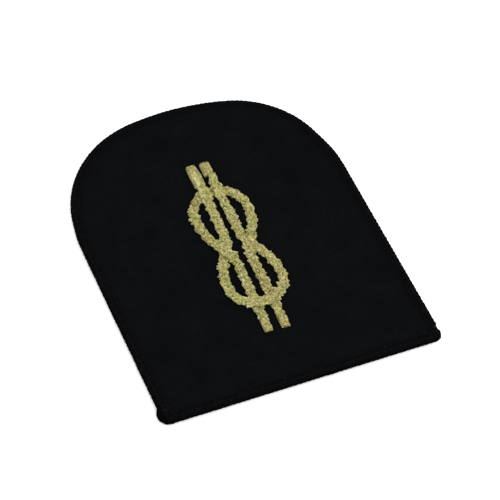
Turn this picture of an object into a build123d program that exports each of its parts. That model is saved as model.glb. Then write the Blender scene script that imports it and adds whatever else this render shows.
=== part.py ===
from build123d import *

import os
from collections import namedtuple
from math import atan2, ceil, copysign, cos, pi, radians, sin, sqrt, tan

# A cloth rank badge: an arched patch of black cloth, its edge bound with thread, with a reef knot
# worked in gold rope on its face.
# Millimetres. The badge lies on its back with its face up: +Z out of the face, +Y towards the crown
# of the arch and +X to the right of the face. The origin is under the middle of its outline, on the
# surface that it lies on.

# The patch
BADGE_WIDTH = 68.0
BADGE_HEIGHT = 83.65
CROWN_RADIUS = 62.0
CROWN_SHIFT = -0.22
SHOULDER_RADIUS = 28.5
SPRING_ROUND = 30.0
CLOTH_THICKNESS = 1.2

# The foot corners, where the binding thread is turned and stands out a little
CORNER_BULGE = 0.65
CORNER_HEIGHT = 4.2
CORNER_CUT = 0.7
CORNER_ROUND = 1.4

# The bound edge
BORDER_WIDTH = 2.4
BORDER_WALL = 0.6
BORDER_WRAP = 0.35
BORDER_ROUND = 0.8
BORDER_INNER_ROUND = 0.25

# The knot: where it lies on the patch, and its plan. Its ends run on past the middle of the other
# rope's loop by about END_LENGTH, and its waist is a little higher on the right than on the left.
KNOT_SHIFT = -1.0
KNOT_HEIGHT = 39.06
LOOP_RADIUS = 6.7
LOOP_CENTRE = 10.25
LOOP_TURN = 3.6
END_LENGTH = 8.6
STRAND_SPREAD = 1.94
WAIST_TURN = 2.25
WAIST_TURN_RUN = 1.4
WAIST_TILT = 0.35

# How much of the run between its corner and its loop a strand's turn takes up
TURN_SHARE = 0.98

# The rope: a half-round cord sewn down flat, pressed where another lies over it
ROPE_WIDTH = 2.5
ROPE_HEIGHT = 0.95
PRESSED_HEIGHT = 0.4
LAPPED_HEIGHT = 0.6
WAIST_REACH = 2.2
LOOP_REACH = 1.5
LAP_RAMP = 1.3
LAP_GAP = 0.17
SECTION_STEP = 1.3

# The stitched ends of the ropes
WHIPPING_WIDTH = 2.6
WHIPPING_HEIGHT = 1.0

# Clearance between neighbouring pieces
GAP = 0.05

# The two sides of the patch are not quite alike. Lean is in degrees from upright, inwards as it
# rises, and the arch leans in more above its spring. Spring, the depth below the crown, and shoulder
# are shares of SHOULDER_RADIUS. Bulge, height and cut are shares of CORNER_BULGE, CORNER_HEIGHT and
# CORNER_CUT, and a corner with a negative bulge is drawn in.
Side = namedtuple("Side", "hand lean arch_lean spring shoulder bulge height cut")
LEFT_SIDE = Side(-1, -1.51, 7.2, 1.064, 0.997, 1.395, 1.2, 0.63)
RIGHT_SIDE = Side(1, 0.94, 17.7, 0.887, 0.823, -0.235, 1.22, 0.46)

# Where the bulge of a foot corner is widest, as shares of its height
BULGE_LOW = 0.35
BULGE_HIGH = 0.65

# The four stitched ends. Hand and end say which strand and which end of the knot. The outer edge is
# at reach times END_LENGTH past the loop. Shift, for the block, and meet, for the rope that runs into
# it, are shares of STRAND_SPREAD. Length and width are shares of END_LENGTH and WHIPPING_WIDTH.
Whipping = namedtuple("Whipping", "name hand end shift meet reach length width")
WHIPPINGS = [
    Whipping("whipping_top_left", -1, 1, 1.01, 0.85, 1.0, 0.76, 1.0),
    Whipping("whipping_top_right", 1, 1, 0.78, 0.9, 1.0, 0.465, 0.97),
    Whipping("whipping_bottom_left", -1, -1, 1.13, 1.13, 0.855, 0.425, 0.88),
    Whipping("whipping_bottom_right", 1, -1, 0.97, 1.0, 0.875, 0.425, 0.88),
]

# The stack from the back upwards: binding, cloth, binding or knot
CLOTH_BOTTOM = BORDER_WRAP + GAP
CLOTH_TOP = CLOTH_BOTTOM + CLOTH_THICKNESS
BORDER_THICKNESS = CLOTH_TOP + GAP + BORDER_WRAP
FACE = CLOTH_TOP + GAP

# How far the loops reach from the middle of the knot, where a strand leaves its loop, where it
# crosses the other rope beside the loop's middle, and the share of its way from the waist's corner to
# its loop at which it crosses the other rope
LOOP_END = LOOP_CENTRE + LOOP_RADIUS
LOOP_LEAVE = LOOP_CENTRE - LOOP_TURN
LOOP_CROSSING = LOOP_CENTRE + sqrt(LOOP_RADIUS**2 - STRAND_SPREAD**2)
WAIST_SHARE = WAIST_TURN / (LOOP_LEAVE + WAIST_TURN)

# The two ropes are named by the way that their loops point
UPPER = 1
LOWER = -1


def spring_height(side):
    """How high the arch springs from one side of the patch."""
    return BADGE_HEIGHT - SHOULDER_RADIUS * side.spring


def side_corners(side, bulged):
    """The corners of one side of the patch, from its foot to past its crown."""
    half = BADGE_WIDTH / 2
    bulge = half + CORNER_BULGE * side.bulge
    height = CORNER_HEIGHT * side.height
    drift = tan(radians(side.lean))
    spring = spring_height(side)
    spring_out = half - drift * spring
    top_out = spring_out - tan(radians(side.arch_lean)) * (BADGE_HEIGHT - spring)
    corners = [(half - CORNER_CUT * side.cut, 0)]
    if bulged:
        corners += [(bulge, BULGE_LOW * height), (bulge, BULGE_HIGH * height)]
    corners += [(half - drift * height, height), (spring_out, spring), (top_out, BADGE_HEIGHT)]
    return [(side.hand * out, up) for out, up in corners]


def badge_outline(bulged):
    """The edge of the badge: a straight foot, two leaning sides, two shoulders and the crown."""
    crown = Pos(CROWN_SHIFT, BADGE_HEIGHT - CROWN_RADIUS) * Circle(CROWN_RADIUS)
    left = side_corners(LEFT_SIDE, bulged)
    right = side_corners(RIGHT_SIDE, bulged)
    outline = Polygon(*right, *reversed(left), align=None) & crown
    for side in (LEFT_SIDE, RIGHT_SIDE):
        on_side = outline.vertices().filter_by(lambda v: v.X * side.hand > 0)
        outline = fillet(on_side.sort_by(Axis.Y)[-1], SHOULDER_RADIUS * side.shoulder)
        on_side = outline.vertices().filter_by(lambda v: v.X * side.hand > 0)
        spring = on_side.sort_by(lambda v: abs(v.Y - spring_height(side)))[0]
        outline = fillet(spring, SPRING_ROUND)
    corners = outline.vertices().filter_by(lambda v: v.Y < 2 * CORNER_HEIGHT).sort_by(Axis.Y)
    return fillet(corners if bulged else corners[:2], CORNER_ROUND)


def ground_cloth(plain_outline):
    """The patch of cloth, whose edge lies inside the binding."""
    patch = offset(plain_outline, amount=-BORDER_WALL - GAP)
    return Pos(0, 0, CLOTH_BOTTOM) * extrude(patch, CLOTH_THICKNESS)


def edge_border(outline, plain_outline):
    """The thread binding: a rounded rim all round, slotted on its inner side for the cloth.

    Only its outer side follows the bulges of the foot corners.
    """
    rim = extrude(outline, BORDER_THICKNESS)
    rim = fillet(rim.edges().filter_by(Plane.XY), BORDER_ROUND)
    rim -= extrude(offset(plain_outline, amount=-BORDER_WIDTH), BORDER_THICKNESS)
    top = rim.faces().sort_by(Axis.Z)[-1]
    rim = fillet(top.inner_wires().edges(), BORDER_INNER_ROUND)
    slot = extrude(offset(plain_outline, amount=-BORDER_WALL), CLOTH_THICKNESS + 2 * GAP)
    return rim - Pos(0, 0, CLOTH_BOTTOM - GAP) * slot


def strand_corners(hand, which):
    """The corners of half a rope's plan: its stitched end, the waist, and where its loop begins."""
    own = next(w for w in WHIPPINGS if w.hand == hand and w.end == -which)
    start = LOOP_END + END_LENGTH * (own.reach - own.length) - GAP
    return [
        Vector(hand * STRAND_SPREAD * own.meet, -which * start),
        Vector(hand * STRAND_SPREAD, hand * WAIST_TILT - which * WAIST_TURN),
        Vector(hand * LOOP_RADIUS, which * LOOP_LEAVE),
        Vector(hand * LOOP_RADIUS, which * LOOP_CENTRE),
    ]


def strand_route(hand, which):
    """The plan of half a rope, from its stitched end up one side to the middle of its loop."""
    rise = LOOP_LEAVE + WAIST_TURN - hand * which * WAIST_TILT
    turn = atan2(LOOP_RADIUS - STRAND_SPREAD, rise)
    side = FilletPolyline(
        *strand_corners(hand, which),
        radius=[WAIST_TURN_RUN / tan(turn / 2), TURN_SHARE * LOOP_TURN / tan(turn / 2)],
    )
    loop = ThreePointArc(
        (hand * LOOP_RADIUS, which * LOOP_CENTRE),
        (hand * LOOP_RADIUS * cos(pi / 4), which * (LOOP_CENTRE + LOOP_RADIUS * sin(pi / 4))),
        (0, which * LOOP_END),
    )
    return Wire(side.edges() + loop.edges())


def loop_crossing(end, waist):
    """The point of a straight strand where it crosses the other rope's loop."""
    height = copysign(LOOP_CROSSING, end.Y)
    return waist + (end - waist) * ((height - waist.Y) / (end.Y - waist.Y))


# Where the ropes cross: the rope on top, the place in plan and how far along it stays pressed
Crossing = namedtuple("Crossing", "over place reach")
CROSSINGS = []
for hand in (1, -1):
    top_end, top_waist = strand_corners(hand, LOWER)[:2]
    foot_end, foot_waist, shoulder = strand_corners(hand, UPPER)[:3]
    CROSSINGS.append(Crossing(LOWER, loop_crossing(top_end, top_waist), LOOP_REACH))
    CROSSINGS.append(Crossing(UPPER, foot_waist + (shoulder - foot_waist) * WAIST_SHARE, WAIST_REACH))
    CROSSINGS.append(Crossing(LOWER, loop_crossing(foot_end, foot_waist), LOOP_REACH))


def lap(point, over, which):
    """How fully a rope at this point of its plan is on top, or is pressed: 0 clear, 1 full."""
    share = 0
    for crossing in CROSSINGS:
        if (crossing.over == which) == over:
            distance = (point - crossing.place).length
            ramp = min(max((crossing.reach + LAP_RAMP - distance) / LAP_RAMP, 0), 1)
            share = max(share, ramp * ramp * (3 - 2 * ramp))
    return share


def half_round(width, low, high):
    """A section across a rope: flat below and one arc above."""
    top = ThreePointArc((-width / 2, low), (0, high), (width / 2, low))
    return make_face(top + Line((width / 2, low), (-width / 2, low)))


def rope_section(point, along, which):
    """A rope's section at one place: lifted where it is on top and thinner where it is pressed."""
    on_top = lap(point, True, which)
    pressed = lap(point, False, which)
    lift = on_top * (PRESSED_HEIGHT + LAP_GAP)
    thick = ROPE_HEIGHT + on_top * (LAPPED_HEIGHT - ROPE_HEIGHT)
    thick += pressed * (PRESSED_HEIGHT - ROPE_HEIGHT)
    across = Vector(0, 0, 1).cross(along)
    place = Plane(origin=(point.X, point.Y, FACE), x_dir=across, z_dir=along)
    return place * half_round(ROPE_WIDTH, lift, lift + thick)


def rope(which):
    """One gold rope, lofted through sections from one stitched end, round its loop, to the other."""
    halves = []
    for hand in (1, -1):
        route = strand_route(hand, which)
        count = ceil(route.length / SECTION_STEP)
        steps = [step / count for step in range(count + 1)]
        halves.append([rope_section(route @ s, hand * (route % s), which) for s in steps])
    right, left = halves
    return loft(right + left[-2::-1], ruled=True)


def whipping(own):
    """One stitched end: a smooth half-round block in line with its strand."""
    length = END_LENGTH * own.length
    middle = own.end * (LOOP_END + END_LENGTH * own.reach - length / 2)
    place = Plane(
        origin=(own.hand * STRAND_SPREAD * own.shift, middle, FACE),
        x_dir=(-1, 0, 0),
        z_dir=(0, 1, 0),
    )
    section = half_round(WHIPPING_WIDTH * own.width, 0, WHIPPING_HEIGHT)
    return extrude(place * section, length / 2, both=True)


def badge():
    """Every piece of the badge by name, moved to put the origin under the middle of its outline."""
    outline = badge_outline(bulged=True)
    plain_outline = badge_outline(bulged=False)
    on_patch = Pos(KNOT_SHIFT, KNOT_HEIGHT, 0)
    pieces = {
        "ground_cloth": ground_cloth(plain_outline),
        "edge_border": edge_border(outline, plain_outline),
        "upper_loop_rope": on_patch * rope(UPPER),
        "lower_loop_rope": on_patch * rope(LOWER),
    }
    for own in WHIPPINGS:
        pieces[own.name] = on_patch * whipping(own)
    middle = outline.bounding_box().center()
    return {name: Pos(-middle.X, -middle.Y, 0) * piece for name, piece in pieces.items()}


os.makedirs("parts", exist_ok=True)
for node, solid in badge().items():
    export_step(solid, f"parts/{node}.step")
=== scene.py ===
from collections import namedtuple
from math import copysign, cos, pi, radians, sin, sqrt
from random import Random

import bmesh
import bpy
from mathutils import Matrix, Vector, noise
from mathutils.geometry import interpolate_bezier


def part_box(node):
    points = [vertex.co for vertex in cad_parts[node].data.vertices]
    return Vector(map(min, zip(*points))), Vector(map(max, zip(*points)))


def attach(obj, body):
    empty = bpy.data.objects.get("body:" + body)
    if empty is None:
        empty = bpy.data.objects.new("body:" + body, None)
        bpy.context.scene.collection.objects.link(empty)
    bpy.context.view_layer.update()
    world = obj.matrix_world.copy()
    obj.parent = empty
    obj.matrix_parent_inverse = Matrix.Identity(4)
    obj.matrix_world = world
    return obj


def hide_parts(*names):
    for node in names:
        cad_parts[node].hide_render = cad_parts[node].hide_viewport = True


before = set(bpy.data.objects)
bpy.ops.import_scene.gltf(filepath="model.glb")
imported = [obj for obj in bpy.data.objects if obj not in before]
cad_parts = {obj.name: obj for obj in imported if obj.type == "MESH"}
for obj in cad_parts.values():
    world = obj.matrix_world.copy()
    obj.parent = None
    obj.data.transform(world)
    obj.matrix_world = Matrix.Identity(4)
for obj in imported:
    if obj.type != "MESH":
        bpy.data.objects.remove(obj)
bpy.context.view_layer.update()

# Sizes are written in millimetres, and the frame is in metres
MM = 0.001

# The badge is seen from its lower left, a little over half way up, with a long lens. The view was
# found by laying the badge's outline and the knot's ends over the picture.
VIEW_TURN = radians(-28.52)
VIEW_RISE = radians(53.27)
VIEW_ROLL = radians(7.58)
VIEW_DISTANCE = 421.1 * MM
VIEW_POINT = Vector((2.70, -3.46, 0)) * MM
LENS = 129.6
NEAREST_SEEN = 10 * MM

back = Vector(
    (sin(VIEW_TURN) * cos(VIEW_RISE), -cos(VIEW_TURN) * cos(VIEW_RISE), sin(VIEW_RISE))
)
level = Vector((cos(VIEW_TURN), sin(VIEW_TURN), 0))
upright = back.cross(level)
right = cos(VIEW_ROLL) * level + sin(VIEW_ROLL) * upright
camera = bpy.data.objects.new("camera", bpy.data.cameras.new("camera"))
camera.data.lens = LENS
camera.data.clip_start = NEAREST_SEEN
camera.matrix_world = (
    Matrix.Translation(VIEW_POINT + back * VIEW_DISTANCE)
    @ Matrix((right, back.cross(right), back)).transposed().to_4x4()
)
bpy.context.collection.objects.link(camera)
bpy.context.scene.camera = camera
bpy.context.scene.view_settings.view_transform = "Standard"


# The floor is one pale matt sheet, and the light is a white tent that is brightest overhead, with one
# large soft panel at its right. Both are bright enough to leave hardly any shadow on the floor.
FLOOR_SIZE = 3.0
FLOOR_SQUARES = 8
FLOOR_DROP = 0.05 * MM
FLOOR_PALE = (0.95, 0.95, 0.95, 1)
FLOOR_MOTTLE = (0.92, 0.92, 0.92, 1)
MOTTLE_SCALE = 30.0
TENT_SIDES = (1.0, 1.0, 1.0, 1)
TENT_TOP = (1.2, 1.2, 1.2, 1)
TENT_SHOULDER = 0.2
TENT_CROWN = 0.9
TENT_STRENGTH = 1.35
PANEL_SIZE = 0.7
PANEL_POWER = 3.2
PANEL_PLACE = Vector((0.15, -0.40, 0.8))


def new_material(name):
    """A node material with its shader and its shader's node tree."""
    material = bpy.data.materials.new(name)
    material.use_nodes = True
    tree = material.node_tree
    return material, tree, tree.nodes["Principled BSDF"]


def node(tree, kind, links=(), **settings):
    """One shader node with its settings, and with its inputs set to values or joined to sockets."""
    made = tree.nodes.new(kind)
    for name, value in settings.items():
        setattr(made, name, value)
    for name, value in dict(links).items():
        if isinstance(value, bpy.types.NodeSocket):
            tree.links.new(value, made.inputs[name])
        else:
            made.inputs[name].default_value = value
    return made


def noise_share(tree, place, scale, detail=2.0, roughness=0.5):
    """A noise pattern over a surface, from 0 to 1."""
    inputs = {"Vector": place, "Scale": scale, "Detail": detail, "Roughness": roughness}
    return node(tree, "ShaderNodeTexNoise", inputs).outputs["Fac"]


def worked_out(tree, operation, *terms):
    """The value that a math node makes of its terms."""
    return node(tree, "ShaderNodeMath", dict(enumerate(terms)), operation=operation).outputs["Value"]


def stretched(tree, value, start, end, to_start=0.0, to_end=1.0):
    """A value's range from start to end stretched to another range, and held inside it."""
    inputs = {"Value": value, "From Min": start, "From Max": end, "To Min": to_start, "To Max": to_end}
    return node(tree, "ShaderNodeMapRange", inputs).outputs["Result"]


def mixed(tree, share, first, second):
    """Two colours, or colour outputs, mixed by a share."""
    mix = node(tree, "ShaderNodeMix", {"Factor": share}, data_type="RGBA")
    for socket, colour in ((6, first), (7, second)):
        if isinstance(colour, bpy.types.NodeSocket):
            tree.links.new(colour, mix.inputs[socket])
        else:
            mix.inputs[socket].default_value = colour
    return mix.outputs[2]


def add_piece(name, mesh, material):
    """A finished piece: its mesh at the origin, smooth, with its one material."""
    mesh.materials.clear()
    mesh.materials.append(material)
    mesh.polygons.foreach_set("use_smooth", [True] * len(mesh.polygons))
    piece = bpy.data.objects.new(name, mesh)
    bpy.context.collection.objects.link(piece)
    return piece


floor_shape = bmesh.new()
bmesh.ops.create_grid(
    floor_shape, x_segments=FLOOR_SQUARES, y_segments=FLOOR_SQUARES, size=FLOOR_SIZE / 2
)
bmesh.ops.translate(floor_shape, verts=floor_shape.verts, vec=(0, 0, -FLOOR_DROP))
floor_mesh = bpy.data.meshes.new("floor")
floor_shape.to_mesh(floor_mesh)
floor_shape.free()
floor_paint, tree, shader = new_material("floor_paint")
place = node(tree, "ShaderNodeTexCoord").outputs["Object"]
mottle = noise_share(tree, place, MOTTLE_SCALE)
tree.links.new(mixed(tree, mottle, FLOOR_PALE, FLOOR_MOTTLE), shader.inputs["Base Color"])
shader.inputs["Roughness"].default_value = 0.9
shader.inputs["Specular IOR Level"].default_value = 0.0
floor = add_piece("floor", floor_mesh, floor_paint)

tent = bpy.data.worlds.new("tent")
bpy.context.scene.world = tent
tent.use_nodes = True
sky = tent.node_tree
aim = node(sky, "ShaderNodeTexCoord").outputs["Generated"]
height = node(sky, "ShaderNodeSeparateXYZ", {"Vector": aim}).outputs["Z"]
overhead = stretched(sky, height, TENT_SHOULDER, TENT_CROWN)
sky.links.new(mixed(sky, overhead, TENT_SIDES, TENT_TOP), sky.nodes["Background"].inputs["Color"])
sky.nodes["Background"].inputs["Strength"].default_value = TENT_STRENGTH

panel = bpy.data.objects.new("panel", bpy.data.lights.new("panel", "AREA"))
panel.data.shape = "DISK"
panel.data.size = PANEL_SIZE
panel.data.energy = PANEL_POWER
panel.location = PANEL_PLACE
panel.rotation_euler = (-PANEL_PLACE).to_track_quat("-Z", "Y").to_euler()
bpy.context.collection.objects.link(panel)


# The knot is marked on the cloth before anything is sewn: the plan of its two ropes, each from a
# stitched end up one side, round its loop and back down, and the places where they cross.
KNOT_MIDDLE = Vector((-0.28, -2.76, 0)) * MM
LOOP_RADIUS = 6.7 * MM
LOOP_CENTRE = 10.25 * MM
LOOP_TURN = 3.6 * MM
STRAND_SPREAD = 1.94 * MM
WAIST_TURN = 2.25 * MM
WAIST_TURN_RUN = 1.4 * MM
WAIST_TILT = 0.35 * MM
SHALLOW_TURN = 2 / 3
TURN_POINTS = 24
ROUTE_STEP = 0.2 * MM
NO_LENGTH = 1e-9
UPPER = 1
LOWER = -1

# The halves of the two ropes are not laid quite alike: how far aside and how far out each half's
# loop reaches, how full its turn is, and how far its waist and shoulder are let down
HalfLoop = namedtuple("HalfLoop", "wide end round drop")
HALF_LOOPS = {
    (UPPER, 1): HalfLoop(6.7 * MM, 16.95 * MM, 0.55, 0),
    (UPPER, -1): HalfLoop(6.6 * MM, 16.95 * MM, 0.52, 0.85 * MM),
    (LOWER, 1): HalfLoop(6.7 * MM, 16.6 * MM, 0.55, 0),
    (LOWER, -1): HalfLoop(6.7 * MM, 16.6 * MM, 0.62, 0),
}

# How each half leaves its stitched end: how far aside, as a share of the strands' spread, how much of
# its width it has there, and how far it is hooked over at its very end
Foot = namedtuple("Foot", "meet neck hook")
FEET = {
    (LOWER, -1): Foot(0.85, 1.0, 0),
    (LOWER, 1): Foot(0.9, 0.8, 0.65 * MM),
    (UPPER, -1): Foot(1.13, 0.92, 0),
    (UPPER, 1): Foot(1.0, 0.85, 0),
}
HOOK_RUN = 1.8 * MM

# How far from the middle of the knot a rope crosses the other's loop
LOOP_CROSSING = LOOP_CENTRE + sqrt(LOOP_RADIUS**2 - STRAND_SPREAD**2)


def bend(start, corner, end, pull):
    """A smooth turn of the plan round a corner."""
    return interpolate_bezier(start, start.lerp(corner, pull), end.lerp(corner, pull), end, TURN_POINTS)


def half_plan(hand, which, foot):
    """The plan of half a rope, from its foot in a stitched end to the middle of its loop."""
    def at(x, y):
        return Vector((hand * x, which * y, 0))

    half = HALF_LOOPS[which, hand]
    waist = at(STRAND_SPREAD, -WAIST_TURN - half.drop) + Vector((0, hand * WAIST_TILT, 0))
    shoulder = at(half.wide, LOOP_CENTRE - LOOP_TURN - half.drop)
    side = at(half.wide, LOOP_CENTRE)
    slope = (shoulder - waist).normalized()
    hooked = foot + Vector((FEET[which, hand].hook, 0, 0))
    points = [hooked, foot + (waist - foot).normalized() * HOOK_RUN]
    before = waist + (foot - waist).normalized() * WAIST_TURN_RUN
    points += bend(before, waist, waist + slope * WAIST_TURN_RUN, SHALLOW_TURN)
    points += bend(shoulder - slope * LOOP_TURN, shoulder, side, SHALLOW_TURN)
    points += bend(side, at(half.wide, half.end), at(0, half.end), half.round)
    return points


def evenly(points, step):
    """The same line with its points about a step apart."""
    lengths = [0.0]
    for first, second in zip(points, points[1:]):
        lengths.append(lengths[-1] + (second - first).length)
    count = round(lengths[-1] / step)
    spaced = []
    run = 0
    for index in range(count + 1):
        distance = lengths[-1] * index / count
        while run < len(points) - 2 and lengths[run + 1] < distance:
            run += 1
        share = (distance - lengths[run]) / max(lengths[run + 1] - lengths[run], NO_LENGTH)
        spaced.append(points[run].lerp(points[run + 1], share))
    return spaced


def rope_plan(which, right_foot, left_foot):
    """The plan of one rope, end to end, on the badge."""
    up = half_plan(1, which, right_foot)
    down = half_plan(-1, which, left_foot)
    return [KNOT_MIDDLE + point for point in evenly(up + down[-2::-1], ROUTE_STEP)]


# The ground is an arched patch of near-black milled wool cloth, cut from the piece and stiffened
# with size. It is felted enough that its twill hardly shows, and the sewing draws it in a little.
CLOTH_THICKNESS = 1.2 * MM
GRID_STEP = 0.9 * MM
SWELL = 0.06 * MM
SWELL_SIZE = 14 * MM
WELD = 0.001 * MM
LEVEL_SLACK = 0.01 * MM
CUT_SLACK = 1e-7
CLOTH_BLACK = (0.0019, 0.0021, 0.0024, 1)
CLOTH_GREY = (0.0051, 0.0053, 0.0058, 1)
CLOUD_SCALE = 140
FELT_SCALE = 800
FIBRE_SCALE = 5200
FUZZ_LEAST = 0.5
FUZZ_MOST = 1.5
TWILL_SCALE = 300
TWILL_SLANT = radians(58)
TWILL_SHOWS = 0.35
NAP_DEPTH = 0.12 * MM
NAP_STRENGTH = 0.7


def cad_copy(name):
    """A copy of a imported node's mesh, with its loose triangles joined."""
    shape = bmesh.new()
    shape.from_mesh(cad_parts[name].data)
    bmesh.ops.remove_doubles(shape, verts=shape.verts, dist=WELD)
    return shape


def finished_mesh(shape, name):
    """Turns a bmesh into the mesh of a piece."""
    mesh = bpy.data.meshes.new(name)
    shape.to_mesh(mesh)
    shape.free()
    return mesh


cloth = cad_copy("ground_cloth")
cloth_low, cloth_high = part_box("ground_cloth")
face_level = cloth_high[2] - LEVEL_SLACK
under = [face for face in cloth.faces if min(v.co.z for v in face.verts) < face_level]
bmesh.ops.delete(cloth, geom=under, context="FACES")
bmesh.ops.dissolve_faces(cloth, faces=cloth.faces[:])
cloth_edge = [loop.vert.co.copy() for loop in list(cloth.faces)[0].loops]
for axis in (Vector((1, 0, 0)), Vector((0, 1, 0))):
    start, end = Vector(cloth_low).dot(axis), Vector(cloth_high).dot(axis)
    for cut in range(1, int((end - start) / GRID_STEP)):
        everything = cloth.verts[:] + cloth.edges[:] + cloth.faces[:]
        place = axis * (start + cut * GRID_STEP)
        bmesh.ops.bisect_plane(cloth, geom=everything, plane_co=place, plane_no=axis, dist=CUT_SLACK)
for vertex in cloth.verts:
    swell = noise.noise(vertex.co / SWELL_SIZE) * SWELL
    vertex.co.z += min(swell, 0) if vertex.is_boundary else swell
bmesh.ops.solidify(cloth, geom=cloth.faces[:], thickness=CLOTH_THICKNESS)
bmesh.ops.recalc_face_normals(cloth, faces=cloth.faces[:])
cloth_mesh = finished_mesh(cloth, "wool_ground")

milled_wool, tree, shader = new_material("milled_wool")
place = node(tree, "ShaderNodeTexCoord").outputs["Object"]
clouds = noise_share(tree, place, CLOUD_SCALE, detail=3.0)
felt = noise_share(tree, place, FELT_SCALE, detail=5.0, roughness=0.6)
fibres = noise_share(tree, place, FIBRE_SCALE, detail=6.0, roughness=0.7)
fuzz = stretched(tree, fibres, 0.3, 0.7, FUZZ_LEAST, FUZZ_MOST)
greyed = worked_out(tree, "MULTIPLY", worked_out(tree, "MULTIPLY", felt, clouds), fuzz)
tree.links.new(mixed(tree, greyed, CLOTH_BLACK, CLOTH_GREY), shader.inputs["Base Color"])
slanted = node(tree, "ShaderNodeMapping", {"Vector": place, "Rotation": (0, 0, TWILL_SLANT)})
ribs = {"Scale": TWILL_SCALE, "Distortion": 6.0, "Detail": 3.0, "Detail Scale": 2.0}
twill = node(tree, "ShaderNodeTexWave", {"Vector": slanted.outputs["Vector"], **ribs}).outputs["Fac"]
nap = worked_out(tree, "MULTIPLY_ADD", twill, TWILL_SHOWS, fibres)
bump = node(tree, "ShaderNodeBump", {"Height": nap, "Strength": NAP_STRENGTH, "Distance": NAP_DEPTH})
tree.links.new(bump.outputs["Normal"], shader.inputs["Normal"])
shader.inputs["Roughness"].default_value = 1.0
shader.inputs["Specular IOR Level"].default_value = 0.0

wool_ground = add_piece("wool_ground", cloth_mesh, milled_wool)
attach(wool_ground, "root")
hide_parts("ground_cloth")


# The raw edge is bound all round by machine with black thread: stitches a little over a millimetre
# apart, each four strands that wrap from a needle line on the face round the edge to the back. The
# cloth's edge lies a little inside the binding.
BINDING_WIDTH = 2.4 * MM
CLOTH_INSIDE = 0.65 * MM
STITCH_PITCH = 1.12 * MM
STITCH_STRANDS = 4
STITCH_SLANT = 0.34 * MM
STITCH_CLOSE = 0.94
BINDING_THREAD = 0.150 * MM
BINDING_BULGE = 0.10 * MM
BINDING_SQUARE = 0.72
BINDING_STEPS = 9
BINDING_UNEVEN = 0.12
BINDING_WANDER = 0.06 * MM
WANDER_SEED = 7
INNER_DROP = 0.15 * MM
NEEDLE_RISE = 0.28 * MM
NEEDLE_REACH = 1.1
NEEDLE_STEPS = 4
PADDING_SINK = 0.16 * MM
PADDING_SQUEEZE = 0.13
THREAD_WELD = 0.0005 * MM
OFF_THE_FLOOR = 0.01 * MM

# At the right foot corner the thread is turned back on itself. There the binding stands out and is
# drawn in by turns: how far up the badge each place is, and how far out it goes.
CORNER_LUMPS = ((-40.0 * MM, 0.22 * MM), (-38.5 * MM, -0.14 * MM), (-37.4 * MM, 0.10 * MM))
LUMP_REACH = 1.0 * MM
LUMP_WIDTH = 3.0 * MM

# The thread is dull black, and holds pale specks that are painted highlights on its strands. Its rim, which
# starts and ends this far past the cloth's edge, has painted shade: it is darker than its face.
BINDING_BLACK = (0.0003, 0.0003, 0.0004, 1)
BINDING_GREY = (0.0041, 0.0042, 0.0046, 1)
# How far the grooves of the thread's twist are painted darker, as shade
GROOVE_PAINTED_SHADE = 0.5
RIM_INSIDE = 0.1 * MM
RIM_OUTSIDE = 0.55 * MM
RIM_SHADE = 0.65
# Painted highlight: the colour of the pale specks, and the speck values where they begin and are full
BINDING_GLINT = (0.030, 0.030, 0.029, 1)
BINDING_GLINT_FROM = 0.70
BINDING_GLINT_FULL = 0.76

# How many sides a round thread has, and how many faces close its two ends
THREAD_SIDES = 6
END_FACES = 8


def threads_mesh(name, paths, thickness, uneven, tones=(0, 1)):
    """One mesh of many round threads, each a list of points, with closed ends and a tone each."""
    threads = bpy.data.curves.new(name, "CURVE")
    threads.dimensions = "3D"
    threads.bevel_depth = 1.0
    threads.bevel_resolution = 1
    threads.use_fill_caps = True
    for index, path in enumerate(paths):
        spline = threads.splines.new("POLY")
        spline.points.add(len(path) - 1)
        spline.points.foreach_set("co", [value for point in path for value in (*point, 1)])
        lumps = [noise.noise(point / (2 * thickness) + Vector((index, 0, 0))) for point in path]
        spline.points.foreach_set("radius", [thickness * (1 + uneven * lump) for lump in lumps])
    holder = bpy.data.objects.new(name, threads)
    mesh = bpy.data.meshes.new_from_object(holder)
    bpy.data.objects.remove(holder)
    bpy.data.curves.remove(threads)
    chance = Random(name)
    tones = [chance.uniform(*tones) for path in paths]
    ends = [tone for tone in tones for face in range(END_FACES)]
    sides = [tone for tone, path in zip(tones, paths) for face in range(THREAD_SIDES * (len(path) - 1))]
    mesh.attributes.new("tone", "FLOAT", "FACE").data.foreach_set("value", ends + sides)
    return mesh


def joined(*meshes):
    """A bmesh of several meshes, with the doubled points at the threads' ends merged."""
    shape = bmesh.new()
    for mesh in meshes:
        shape.from_mesh(mesh)
        bpy.data.meshes.remove(mesh)
    bmesh.ops.remove_doubles(shape, verts=shape.verts, dist=THREAD_WELD)
    bmesh.ops.recalc_face_normals(shape, faces=shape.faces[:])
    return shape


def sunk_copy(name, depth):
    """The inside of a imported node: its surface moved in, for threads to lie on."""
    shape = cad_copy(name)
    shape.normal_update()
    for vertex, inward in [(v, -v.normal * depth) for v in shape.verts]:
        vertex.co += inward
    return shape


def new_group(name, inputs, outputs):
    """A shader node group with its named sockets, and its two end nodes."""
    group = bpy.data.node_groups.new(name, "ShaderNodeTree")
    for socket, kind in inputs.items():
        group.interface.new_socket(socket, in_out="INPUT", socket_type="NodeSocket" + kind)
    for socket, kind in outputs.items():
        group.interface.new_socket(socket, in_out="OUTPUT", socket_type="NodeSocket" + kind)
    return group, group.nodes.new("NodeGroupInput"), group.nodes.new("NodeGroupOutput")


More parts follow.
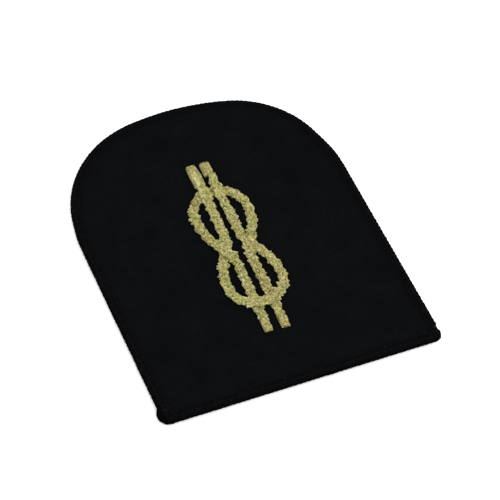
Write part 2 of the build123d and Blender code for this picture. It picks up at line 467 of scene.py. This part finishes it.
# One effect serves all the threads: the grooves of a spun thread, which wind round it at an even
# pitch, the unevenness from one stretch of thread to the next, and specks finer than a thread.
spun, given, put_out = new_group(
    "spun_thread",
    {"Thread": "Vector", "Place": "Vector", "Turns": "Float", "Patch Size": "Float", "Speck Size": "Float"},
    {"Groove": "Float", "Patch": "Float", "Speck": "Float"},
)
along_thread = node(spun, "ShaderNodeSeparateXYZ", {"Vector": given.outputs["Thread"]}).outputs
wound = worked_out(spun, "MULTIPLY_ADD", along_thread["X"], given.outputs["Turns"], along_thread["Y"])
wave = worked_out(spun, "SINE", worked_out(spun, "MULTIPLY", wound, 2 * pi))
patch = noise_share(spun, given.outputs["Place"], given.outputs["Patch Size"], detail=4.0, roughness=0.65)
speck = noise_share(spun, given.outputs["Place"], given.outputs["Speck Size"])
spun.links.new(stretched(spun, wave, -1.0, 1.0), put_out.inputs["Groove"])
spun.links.new(patch, put_out.inputs["Patch"])
spun.links.new(speck, put_out.inputs["Speck"])


def thread_finish(name, turns, patch_size, speck_size, relief):
    """A thread's material with its grooves as relief, and the effect that its tones are mixed by."""
    material, tree, shader = new_material(name)
    place = node(tree, "ShaderNodeTexCoord").outputs
    effect = node(tree, "ShaderNodeGroup", node_tree=spun)
    tree.links.new(place["UV"], effect.inputs["Thread"])
    tree.links.new(place["Object"], effect.inputs["Place"])
    effect.inputs["Turns"].default_value = turns
    effect.inputs["Patch Size"].default_value = patch_size
    effect.inputs["Speck Size"].default_value = speck_size
    bump = node(tree, "ShaderNodeBump", {"Height": effect.outputs["Groove"], "Distance": relief})
    bump.inputs["Strength"].default_value = 0.8
    tree.links.new(bump.outputs["Normal"], shader.inputs["Normal"])
    return material, tree, shader, effect.outputs


def mark_painted_rim_shade(mesh, shares):
    """Marks each point of a mesh with how fully it takes the painted shade of the binding's rim."""
    mesh.attributes.new("painted_rim_shade", "FLOAT", "POINT").data.foreach_set("value", shares)


# One stitch is made beside the origin, where the cloth's edge is the X axis and the badge's outside is
# at +Y. Then it is repeated along the edge, and the row is bent round the badge.
badge_low, badge_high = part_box("edge_border")
binding_height = badge_high[2] - badge_low[2]
stitch = []
inner = CLOTH_INSIDE - BINDING_WIDTH + BINDING_THREAD
reach = BINDING_WIDTH - 2 * BINDING_THREAD
half_height = binding_height / 2 - BINDING_THREAD
for strand in range(STITCH_STRANDS):
    share = (strand + 0.5) / STITCH_STRANDS
    bulge = BINDING_BULGE * (sin(pi * share) - 0.5)
    wrap = [Vector((0, inner, CLOTH_THICKNESS))]
    for step in range(BINDING_STEPS + 1):
        turn = pi / 2 - pi * step / BINDING_STEPS
        out = abs(cos(turn)) ** BINDING_SQUARE
        rise = copysign(abs(sin(turn)) ** BINDING_SQUARE, turn)
        bulged = bulge * (1 if rise > 0 else out)
        raised = (bulged - INNER_DROP * (1 - out)) * max(rise, 0)
        level = binding_height / 2 + half_height * rise + raised
        wrap.append(Vector((0, inner + (reach + bulged) * out, level)))
    wrap.append(Vector((0, inner, CLOTH_THICKNESS / 2)))
    for step, point in enumerate(wrap):
        slant = STITCH_SLANT * (step / len(wrap) - 0.5)
        point.x = (share - 0.5) * STITCH_PITCH * STITCH_CLOSE + slant
    stitch.append(wrap)
needle = []
for step in range(NEEDLE_STEPS + 1):
    share = step / NEEDLE_STEPS
    level = binding_height - INNER_DROP - NEEDLE_RISE * (1 - sin(pi * share))
    along = (share - 0.5) * STITCH_PITCH * NEEDLE_REACH
    needle.append(Vector((along, inner + BINDING_THREAD, level)))
stitch.append(needle)

stitch_mesh = threads_mesh("one_stitch", stitch, BINDING_THREAD, BINDING_UNEVEN)
# Painted shade: threads past the cloth's edge are marked from none to full across the rim
past_inside = [(v.co.y - RIM_INSIDE) / (RIM_OUTSIDE - RIM_INSIDE) for v in stitch_mesh.vertices]
mark_painted_rim_shade(stitch_mesh, [min(max(share, 0), 1) for share in past_inside])
one_stitch = bpy.data.objects.new("one_stitch", stitch_mesh)
bpy.context.collection.objects.link(one_stitch)

outline = bpy.data.curves.new("outline", "CURVE")
outline.dimensions = "2D"
edge = outline.splines.new("POLY")
edge.points.add(len(cloth_edge) - 1)
edge.points.foreach_set("co", [value for point in cloth_edge for value in (point.x, point.y, 0, 1)])
edge.use_cyclic_u = True
edge_length = edge.calc_length()
stitch_count = round(edge_length / STITCH_PITCH)
outline_path = bpy.data.objects.new("outline", outline)
bpy.context.collection.objects.link(outline_path)
row = one_stitch.modifiers.new("row", "ARRAY")
row.use_relative_offset = False
row.use_constant_offset = True
row.constant_offset_displace = (edge_length / stitch_count, 0, 0)
row.count = stitch_count
round_edge = one_stitch.modifiers.new("round_edge", "CURVE")
round_edge.object = outline_path
bpy.context.view_layer.update()
stitched = one_stitch.evaluated_get(bpy.context.evaluated_depsgraph_get())
binding = joined(bpy.data.meshes.new_from_object(stitched))
for unused in (one_stitch, outline_path):
    bpy.data.objects.remove(unused)
noise.seed_set(WANDER_SEED)
for vertex in binding.verts:
    vertex.co += noise.noise_vector(vertex.co / STITCH_PITCH) * BINDING_WANDER
    vertex.co.z = max(vertex.co.z, OFF_THE_FLOOR)

# Under the stitches, padding fills the binding, so that nothing pale shows between two threads
padding = sunk_copy("edge_border", PADDING_SINK)
for vertex in padding.verts:
    vertex.co.z += (binding_height / 2 - vertex.co.z) * PADDING_SQUEEZE
for vertex in binding.verts[:] + padding.verts[:]:
    if vertex.co.x > badge_high[0] - LUMP_WIDTH:
        for lump, out in CORNER_LUMPS:
            near = max(1 - abs(vertex.co.y - lump) / LUMP_REACH, 0)
            vertex.co.x += out * near * near * (3 - 2 * near)
stitches_mesh = finished_mesh(binding, "binding_stitches")
padding_mesh = finished_mesh(padding, "binding_padding")
# The padding takes the full painted shade, as shade in the gaps between the stitches
mark_painted_rim_shade(padding_mesh, [1.0] * len(padding_mesh.vertices))

binding_thread, tree, shader, effect = thread_finish(
    "binding_thread", turns=9.0, patch_size=900.0, speck_size=2600.0, relief=0.03 * MM
)
# Painted shade: the rim and the padding are darkened by this share
painted_rim_shade = node(tree, "ShaderNodeAttribute", attribute_name="painted_rim_shade").outputs["Fac"]
rim_shade_factor = worked_out(tree, "MULTIPLY_ADD", painted_rim_shade, -RIM_SHADE, 1.0)
# The grooves of the twist are painted darker, as shade, over patches that differ at random
greyed = worked_out(tree, "MULTIPLY_ADD", effect["Groove"], GROOVE_PAINTED_SHADE, effect["Patch"])
greyed = worked_out(tree, "MULTIPLY", greyed, rim_shade_factor)
# The pale specks are painted highlights, where the thread's strands would catch the light
binding_glint = stretched(tree, effect["Speck"], BINDING_GLINT_FROM, BINDING_GLINT_FULL)
black = mixed(tree, greyed, BINDING_BLACK, BINDING_GREY)
tree.links.new(mixed(tree, binding_glint, black, BINDING_GLINT), shader.inputs["Base Color"])
shader.inputs["Roughness"].default_value = 0.7
shader.inputs["Specular IOR Level"].default_value = 0.0

binding_stitches = add_piece("binding_stitches", stitches_mesh, binding_thread)
binding_padding = add_piece("binding_padding", padding_mesh, binding_thread)
for piece in (binding_stitches, binding_padding):
    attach(piece, "root")
    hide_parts("edge_border")


# The knot is worked in two ropes of gold metal thread, sewn down flat: three strands twisted to the
# right, each of many fine threads, under a crust of small loops that stand out at all angles. Where
# two ropes cross, the lower one is pressed down so far that the upper one hardly rises.
FACE = 1.65 * MM
ROPE_WIDTH = 2.47 * MM
ROPE_HEIGHT = 0.95 * MM
PRESSED_HEIGHT = 0.4 * MM
LAPPED_HEIGHT = 0.6 * MM
WAIST_REACH = 2.2 * MM
LOOP_REACH = 1.2 * MM
LAP_RAMP = 1.3 * MM
LAP_GAP = 0.05 * MM
PRESSED_SPREAD = 0.14
ROPE_SWELL = 0.22
SWELL_RUN = 1.1 * MM
STRANDS = 3
STRAND_THREADS = 7
STRAND_SHARE = 0.6
STRAND_GROOVE = 0.6
FLATNESS = 0.6
GOLD_THREAD = 0.14 * MM
GOLD_UNEVEN = 0.5
ROPE_LAY = 7.3 * MM
STRAND_LAY = 3.1 * MM
THREAD_WANDER = 0.12 * MM
THREAD_BEND = 0.7 * MM
TUCK = 0.35 * MM
NECK_RUN = 3.0 * MM
LOOPS_EACH_MM = 11
LOOP_LENGTH = 0.9 * MM
LOOP_THREAD = 0.15 * MM
LOOP_RISE = 0.50 * MM
LOOP_REACHES = (0.25, 0.5)
LOOP_LEAST = 0.35
LOOP_STEPS = 4
LOOP_SPREAD = 1.5
LOOP_CALM = 2.5 * MM
LOOP_CALMED = 0.5
# The laid threads under the loops take a darker range, as painted shade, and the loops that stand out a
# paler one, as painted highlight; within its range each thread's tone differs at random
LAID_SHADED_TONES = (0.0, 0.4)
LOOP_LIT_TONES = (0.15, 1.0)
LAY_DRIFT = 0.25
NEXT_STRAND = 7.3
NEXT_THREAD = 3.1

# The gold runs from a painted shade, standing for the dark of its hollows, to a painted glint. Its own
# colour wavers between green and pink over a few millimetres. Specks and the tone of each thread add to the
# patches of the thread, and set where the painted shade and the painted glint fall.
GOLD_PAINTED_SHADE = (0.105, 0.09, 0.013, 1)
GOLD_GREEN = (0.385, 0.395, 0.110, 1)
GOLD_PINK = (0.46, 0.39, 0.168, 1)
GOLD_GLINT = (0.63, 0.61, 0.41, 1)
SPECK_WEIGHT = 4.0
TONE_WEIGHT = 1.4
PAINTED_SHADE_ENDS = 1.95
GOLD_FULL = 3.2
GLINT_FROM = 3.3
GLINT_FULL = 4.2
HUE_SCALE = 220.0
HUE_GREEN = 0.30
HUE_PINK = 0.70
ROUGH_DARK = 0.6
ROUGH_GOLD = 0.4


def rope_foot(end_node, which, hand):
    """Where half a rope begins, inside its stitched end, measured from the middle of the knot."""
    low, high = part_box(end_node)
    inner_end = low[1] + TUCK if low[1] > KNOT_MIDDLE.y else high[1] - TUCK
    return Vector((hand * STRAND_SPREAD * FEET[which, hand].meet, inner_end - KNOT_MIDDLE.y, 0))


# The feet of the four half ropes, the rope on top at each place where two cross, and how far along
# it stays pressed
feet = {}
CROSSINGS = []
for hand, side_name in ((1, "right"), (-1, "left")):
    for which, half_name in ((UPPER, "bottom"), (LOWER, "top")):
        foot = rope_foot(f"whipping_{half_name}_{side_name}", which, hand)
        waist = Vector((hand * STRAND_SPREAD, hand * WAIST_TILT - which * WAIST_TURN, 0))
        level = copysign(LOOP_CROSSING, foot.y)
        CROSSINGS.append((LOWER, waist.lerp(foot, (level - waist.y) / (foot.y - waist.y)), LOOP_REACH))
        feet[which, hand] = foot
    shoulder = Vector((hand * LOOP_RADIUS, LOOP_CENTRE - LOOP_TURN, 0))
    waist = Vector((hand * STRAND_SPREAD, hand * WAIST_TILT - WAIST_TURN, 0))
    CROSSINGS.append((UPPER, waist.lerp(shoulder, WAIST_TURN / (shoulder.y + WAIST_TURN)), WAIST_REACH))

# A station is a place along a rope: the point under its middle, the way across it, how wide and
# thick it is there, how far its strands have turned and how deep the grooves between them are.
Station = namedtuple("Station", "point across wide thick turn groove")


def lap(point, which, over):
    """How fully a rope at this point is on top, or is pressed: 0 clear, 1 full."""
    share = 0
    for top_rope, place, reach in CROSSINGS:
        if (top_rope == which) == over:
            distance = (point - KNOT_MIDDLE - place).length
            ramp = min(max((reach + LAP_RAMP - distance) / LAP_RAMP, 0), 1)
            share = max(share, ramp * ramp * (3 - 2 * ramp))
    return share


def strand_turn(run, seed):
    """How far the strands of a rope have turned at this length along it."""
    drift = noise.noise(Vector((run / (2 * ROPE_LAY), seed, 0)))
    return 2 * pi * (LAY_DRIFT * drift - run / ROPE_LAY)


def rope_stations(plan, which):
    """The stations along a rope, at the points of its plan."""
    stations = []
    for index, point in enumerate(plan):
        along = (plan[min(index + 1, len(plan) - 1)] - plan[max(index - 1, 0)]).normalized()
        on_top = lap(point, which, True)
        pressed = lap(point, which, False)
        thick = ROPE_HEIGHT + on_top * (LAPPED_HEIGHT - ROPE_HEIGHT)
        thick += pressed * (PRESSED_HEIGHT - ROPE_HEIGHT)
        place = point + Vector((0, 0, FACE + on_top * (PRESSED_HEIGHT + LAP_GAP)))
        swell = noise.noise(Vector((index * ROUTE_STEP / SWELL_RUN, which, 0)))
        wide = ROPE_WIDTH * (1 + PRESSED_SPREAD * (on_top + pressed) + ROPE_SWELL * swell)
        from_foot = min(index, len(plan) - 1 - index) * ROUTE_STEP
        neck = FEET[which, 1 if index < len(plan) / 2 else -1].neck
        wide *= neck + (1 - neck) * min(from_foot / NECK_RUN, 1)
        turn = strand_turn(index * ROUTE_STEP, which)
        across = Vector((along.y, -along.x, 0))
        stations.append(Station(place, across, wide, thick, turn, STRAND_GROOVE))
    return stations


def between(stations, place):
    """The station at a place counted in stations, whole or not."""
    place = min(max(place, 0), len(stations) - 1)
    index = min(int(place), len(stations) - 2)
    pairs = zip(stations[index], stations[index + 1])
    return Station(*(first + (second - first) * (place - index) for first, second in pairs))


def laid(station, side, rise, thickness):
    """A place in a rope: side from -1 to 1 across it, and rise from 0 on the cloth to 1 on its crown."""
    level = thickness + rise * (station.thick - 2 * thickness)
    aside = side * (station.wide / 2 - thickness)
    return station.point + station.across * aside + Vector((0, 0, level))


def rope_paths(stations, step, seed):
    """Every thread of a rope, laid by the rope's twist and its strand's, and flattened on the cloth."""
    paths = []
    for strand in range(STRANDS):
        for thread in range(STRAND_THREADS):
            path = []
            for index, station in enumerate(stations):
                run = index * step
                turn = station.turn + 2 * pi * strand / STRANDS
                twist = 2 * pi * (thread / STRAND_THREADS + run / STRAND_LAY)
                apart = Vector((run / THREAD_BEND, NEXT_STRAND * strand + seed, NEXT_THREAD * thread))
                waver = noise.noise_vector(apart)
                side = STRAND_SHARE * cos(turn) + (1 - STRAND_SHARE) * cos(twist)
                rise = STRAND_SHARE * sin(turn) + (1 - STRAND_SHARE) * sin(twist)
                rise = 0.5 + 0.5 * copysign(abs(rise) ** FLATNESS, rise)
                path.append(laid(station, side, rise, GOLD_THREAD) + waver * THREAD_WANDER)
                path[-1].z = max(path[-1].z, FACE)
            paths.append(path)
    return paths


def loop_paths(stations, step, each_mm, tallest, chance):
    """Short loops of thread that stand out of a rope or an end, at odd angles."""
    paths = []
    length = (len(stations) - 1) * step
    for _ in range(round(length / MM * each_mm)):
        middle = chance.uniform(0, length)
        around = chance.uniform(-LOOP_SPREAD, LOOP_SPREAD)
        heading = chance.uniform(0, pi)
        reach = LOOP_LENGTH * chance.uniform(*LOOP_REACHES)
        rise = tallest * (LOOP_LEAST + chance.random() ** 3)
        from_end = min(middle / LOOP_CALM, (length - middle) / LOOP_CALM, 1)
        rise *= LOOP_CALMED + (1 - LOOP_CALMED) * from_end
        path = []
        for mark in range(LOOP_STEPS + 1):
            share = 2 * mark / LOOP_STEPS - 1
            station = between(stations, (middle + share * reach * cos(heading)) / step)
            turn = around + share * reach * sin(heading) / (station.wide / 2)
            turn = min(max(turn, -pi / 2), pi / 2)
            past_crown = (pi / 2 - turn - station.turn) % (2 * pi / STRANDS) - pi / STRANDS
            sink = station.groove * (1 - cos(pi / STRANDS - abs(past_crown)))
            crown = cos(turn) ** FLATNESS
            place = laid(station, sin(turn) * (1 - sink), crown * (1 - sink), LOOP_THREAD)
            out = station.across * sin(turn) + Vector((0, 0, cos(turn)))
            path.append(place + out * (rise * (1 - share * share) - LOOP_THREAD))
        paths.append(path)
    return paths


gold_thread, tree, shader, effect = thread_finish(
    "gold_metal_thread", turns=380.0, patch_size=500.0, speck_size=2100.0, relief=0.05 * MM
)
# Each thread's tone sets its painted shade and painted glint, and differs at random within its range
tone = node(tree, "ShaderNodeAttribute", attribute_name="tone").outputs["Fac"]
total = worked_out(tree, "MULTIPLY_ADD", effect["Speck"], SPECK_WEIGHT, effect["Patch"])
total = worked_out(tree, "MULTIPLY_ADD", tone, TONE_WEIGHT, total)
# Painted shade where the total is low, the gold's own colour above it, and a painted glint at the top
share = stretched(tree, total, PAINTED_SHADE_ENDS, GOLD_FULL)
glint = stretched(tree, total, GLINT_FROM, GLINT_FULL)
place = node(tree, "ShaderNodeTexCoord").outputs["Object"]
broad = noise_share(tree, place, HUE_SCALE, detail=4.0, roughness=0.7)
own_gold = mixed(tree, stretched(tree, broad, HUE_GREEN, HUE_PINK), GOLD_GREEN, GOLD_PINK)
toned = mixed(tree, share, GOLD_PAINTED_SHADE, own_gold)
tree.links.new(mixed(tree, glint, toned, GOLD_GLINT), shader.inputs["Base Color"])
rough = stretched(tree, share, 0.0, 1.0, ROUGH_DARK, ROUGH_GOLD)
tree.links.new(rough, shader.inputs["Roughness"])
shader.inputs["Metallic"].default_value = 0.6

for name, which in (("upper_loop_rope", UPPER), ("lower_loop_rope", LOWER)):
    stations = rope_stations(rope_plan(which, feet[which, 1], feet[which, -1]), which)
    paths = rope_paths(stations, ROUTE_STEP, which)
    strands = threads_mesh(name, paths, GOLD_THREAD, GOLD_UNEVEN, LAID_SHADED_TONES)
    loops = loop_paths(stations, ROUTE_STEP, LOOPS_EACH_MM, LOOP_RISE, Random(name))
    loops = threads_mesh(name + "_loops", loops, LOOP_THREAD, GOLD_UNEVEN, LOOP_LIT_TONES)
    rope_mesh = finished_mesh(joined(strands, loops), name + "_threads")
    rope = add_piece(name + "_threads", rope_mesh, gold_thread)
    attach(rope, "root")
    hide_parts(name)


# Each end of a rope is finished as a flat block of gold thread, turned down into the cloth at its
# outer edge, where two more threads lie across it. At the top it is a row of long threads side by
# side over the rope's own end. At the foot it is the rope's own strands, spread a little.
END_STEP = 0.2 * MM
END_WANDER = 0.06 * MM
END_SINK = 0.14 * MM
END_THREAD_GAP = 0.21 * MM
END_SIDE_RISE = 0.5
END_SQUARE = 8
END_FALL = (0, 0.65, 0.95)
END_TONES = (0.2, 0.65)
END_LOOP_RISE = 0.3 * MM
CROSS_THREADS = 2
CROSS_STEPS = 10
CROSS_RISE = 0.6
CROSS_RISE_EACH = 0.45

# The blocks are not all alike. The widths of each at its outer edge, in its middle and at its inner
# edge, and the slant of its inner edge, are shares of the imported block's width. Lean says how far its
# inner edge goes over to its rope, and groove how deep the grooves between its strands are.
EndShape = namedtuple("EndShape", "outer middle inner slant lean groove loops_each_mm")
END_SHAPES = {
    "whipping_top_left": EndShape(0.86, 1.08, 0.86, 0.0, 1.0, 0.0, 1.5),
    "whipping_top_right": EndShape(0.97, 1.0, 0.97, 0.3, 0.0, 0.0, 1.5),
    "whipping_bottom_left": EndShape(0.84, 0.97, 0.93, 0.0, 1.0, STRAND_GROOVE, 6),
    "whipping_bottom_right": EndShape(0.97, 0.97, 0.93, 0.0, 1.0, STRAND_GROOVE, 6),
}


def end_stations(low, high, inner, outer, shape):
    """The stations along a stitched end, from its inner edge to its outer one."""
    steps = round((high[1] - low[1]) / END_STEP)
    middle = (low[0] + high[0]) / 2
    thick = high[2] - low[2]
    across = Vector((outer, 0, 0))
    stations = []
    for index in range(steps + 1):
        share = index / steps
        run = low[1] + (high[1] - low[1]) * (share if outer > 0 else 1 - share)
        edges = shape.inner * (1 - share) + shape.outer * share
        wide = edges + (shape.middle - (shape.inner + shape.outer) / 2) * sin(pi * share)
        wide *= high[0] - low[0]
        place = Vector((middle + (inner - middle) * shape.lean * (1 - share), run, FACE))
        turn = strand_turn(index * END_STEP, low[0] / MM)
        stations.append(Station(place, across, wide, thick, turn, shape.groove))
    return stations


def end_profile(side):
    """How high the threads of an end lie at a place across it: flat, with its sides let down."""
    return END_SIDE_RISE + (1 - END_SIDE_RISE) * sqrt(1 - side**END_SQUARE)


def row_paths(stations, slant):
    """A row of long threads side by side, and two low at its sides, cut back where it slants."""
    count = round((stations[0].wide - 2 * GOLD_THREAD) / END_THREAD_GAP) + 1
    places = [(2 * thread / (count - 1) - 1, 1) for thread in range(count)] + [(-1, 0), (1, 0)]
    paths = []
    for thread, (side, height) in enumerate(places):
        crown = height * end_profile(side)
        cut_back = round((0.5 + 0.5 * side) * slant * stations[0].wide / END_STEP)
        path = []
        for index, station in enumerate(stations[cut_back:]):
            apart = Vector((index * END_STEP / THREAD_BEND, thread, station.point.x / MM))
            waver = noise.noise_vector(apart)
            path.append(laid(station, side, crown, GOLD_THREAD) + waver * END_WANDER)
        paths.append(path)
    return paths


def cross_paths(stations):
    """The threads across the outer edge of a stitched end."""
    paths = []
    for cross in range(CROSS_THREADS):
        path = []
        for step in range(CROSS_STEPS + 1):
            side = 2 * step / CROSS_STEPS - 1
            rise = end_profile(side) * (CROSS_RISE + CROSS_RISE_EACH * cross)
            path.append(laid(stations[-1 - cross], side, rise, GOLD_THREAD))
        paths.append(path)
    return paths


for half_name, outer in (("top", 1), ("bottom", -1)):
    for hand in ("left", "right"):
        name = f"whipping_{half_name}_{hand}"
        low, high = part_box(name)
        shape = END_SHAPES[name]
        inner = KNOT_MIDDLE.x + feet[-outer, 1 if hand == "right" else -1].x
        stations = end_stations(low, high, inner, outer, shape)
        if shape.groove:
            rows = rope_paths(stations, END_STEP, outer)
        else:
            rows = row_paths(stations, shape.slant)
        for path in rows:
            for index, share in enumerate(END_FALL):
                path[-1 - index].z = FACE + share * (path[-1 - index].z - FACE)
        rows += cross_paths(stations)
        long_threads = threads_mesh(name, rows, GOLD_THREAD, GOLD_UNEVEN, END_TONES)
        loops = loop_paths(stations, END_STEP, shape.loops_each_mm, END_LOOP_RISE, Random(name))
        loops = threads_mesh(name + "_loops", loops, LOOP_THREAD, GOLD_UNEVEN, LOOP_LIT_TONES)
        core = finished_mesh(sunk_copy(name, END_SINK), name + "_core")
        end_mesh = finished_mesh(joined(long_threads, loops, core), name + "_threads")
        end_piece = add_piece(name + "_threads", end_mesh, gold_thread)
        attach(end_piece, "root")
        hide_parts(name)
